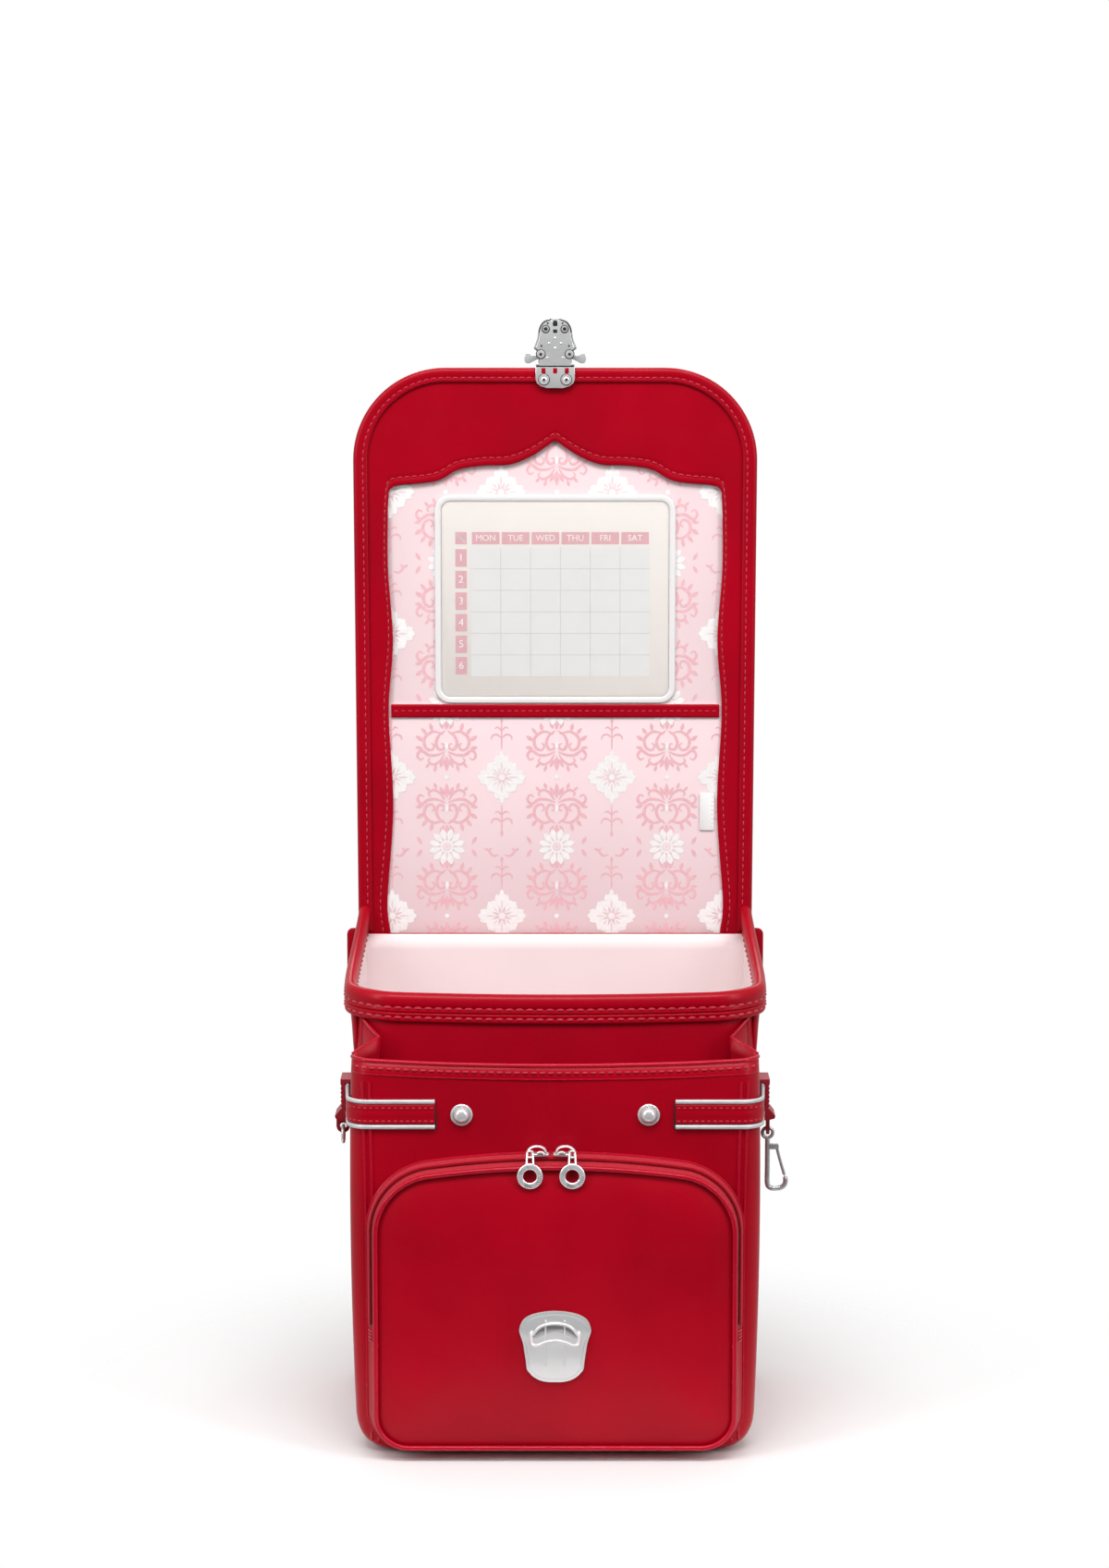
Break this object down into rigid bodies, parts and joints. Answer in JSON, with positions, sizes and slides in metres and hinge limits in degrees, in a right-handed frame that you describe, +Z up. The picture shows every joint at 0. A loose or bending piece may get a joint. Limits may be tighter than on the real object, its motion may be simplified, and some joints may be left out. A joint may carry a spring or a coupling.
{
  "type": "school ransel",
  "caption": "Stiff school backpack with a half flap raised to show its printed lining, a bellows compartment, an arched zip pocket and padded shoulder straps.",
  "frame": {"origin": "middle of the base, on the surface that the bag stands on", "axes": "+X to the bag's right side as seen from its front, +Y to the back panel, +Z up along the raised flap"},
  "size_m": [0.2772, 0.3677, 0.6805],
  "materials": {
    "red_leather": "glossy smooth",
    "red_trim": "satin moulded",
    "red_fabric": "woven tape",
    "printed_lining": "smooth printed sheet",
    "plain_lining": "smooth",
    "clear_vinyl": "translucent sheet",
    "card": "matte card",
    "bright_metal": "polished plating",
    "reflective": "silver reflective piping"
  },
  "bodies": {
    "bag": {"main_front_wall": "red_leather", "main_gusset": "red_leather", "main_lining": "plain_lining", "rim_binding": "red_leather", "back_panel": "red_leather", "back_pad": "plain_lining", "crown_band": "red_leather", "flap_outer": "red_leather", "flap_lining": "printed_lining", "flap_frame": "red_leather", "flap_binding": "red_leather", "flap_pocket_sheet": "printed_lining", "pocket_trim": "red_leather", "timetable_pocket": "clear_vinyl", "timetable_card": "card", "label_tag": "card", "flap_lock": "bright_metal", "lock_rivet_left": "bright_metal", "lock_rivet_right": "bright_metal", "second_front": "red_leather", "second_gusset": "red_leather", "stud_left": "bright_metal", "stud_right": "bright_metal", "zip_tape": "red_fabric", "pocket_gusset": "red_leather", "zipper_teeth": "red_fabric", "pocket_piping": "red_leather", "pocket_face": "red_leather", "zip_slider_left": "bright_metal", "zip_slider_right": "bright_metal", "striker_plate": "bright_metal", "side_band_left": "red_leather", "side_band_right": "red_leather", "upper_piping_left": "reflective", "upper_piping_right": "reflective", "lower_piping_left": "reflective", "lower_piping_right": "reflective", "side_holder_left": "red_trim", "side_holder_right": "red_trim", "side_ring": "bright_metal", "side_hook": "bright_metal", "strap_bracket": "red_trim", "carry_handle": "red_leather", "shoulder_strap_left": "red_leather", "shoulder_strap_right": "red_leather", "strap_buckle_left": "bright_metal", "strap_buckle_right": "bright_metal", "lower_strap_left": "red_leather", "lower_strap_right": "red_leather", "d_ring_left": "bright_metal", "d_ring_right": "bright_metal", "lower_tab_left": "red_leather", "lower_tab_right": "red_leather"},
    "lever_left": {"lock_lever_left": "bright_metal"},
    "lever_right": {"lock_lever_right": "bright_metal"},
    "gate": {"hook_gate": "bright_metal"},
    "pull_left": {"zip_pull_left": "bright_metal"},
    "pull_right": {"zip_pull_right": "bright_metal"}
  },
  "joints": [
    {"name": "lever_left_press", "type": "hinge", "parent": "bag", "child": "lever_left", "pos_m": [-0.0092, 0.0811, 0.6589], "axis": [0, -1, 0], "range_deg": [0, 8], "stiffness_Nm_per_rad": 0.02},
    {"name": "lever_right_press", "type": "hinge", "parent": "bag", "child": "lever_right", "pos_m": [0.0092, 0.0811, 0.6589], "axis": [0, 1, 0], "range_deg": [0, 8], "stiffness_Nm_per_rad": 0.02},
    {"name": "gate_open", "type": "hinge", "parent": "bag", "child": "gate", "pos_m": [0.13587, -0.03, 0.1778], "axis": [0, 1, 0], "range_deg": [0, 20], "stiffness_Nm_per_rad": 0.01},
    {"name": "pull_left_swing", "type": "hinge", "parent": "bag", "child": "pull_left", "pos_m": [-0.015, -0.09642, 0.1888], "axis": [-1, 0, 0], "range_deg": [0, 70]},
    {"name": "pull_right_swing", "type": "hinge", "parent": "bag", "child": "pull_right", "pos_m": [0.0102, -0.09642, 0.1888], "axis": [-1, 0, 0], "range_deg": [0, 70]}
  ]
}
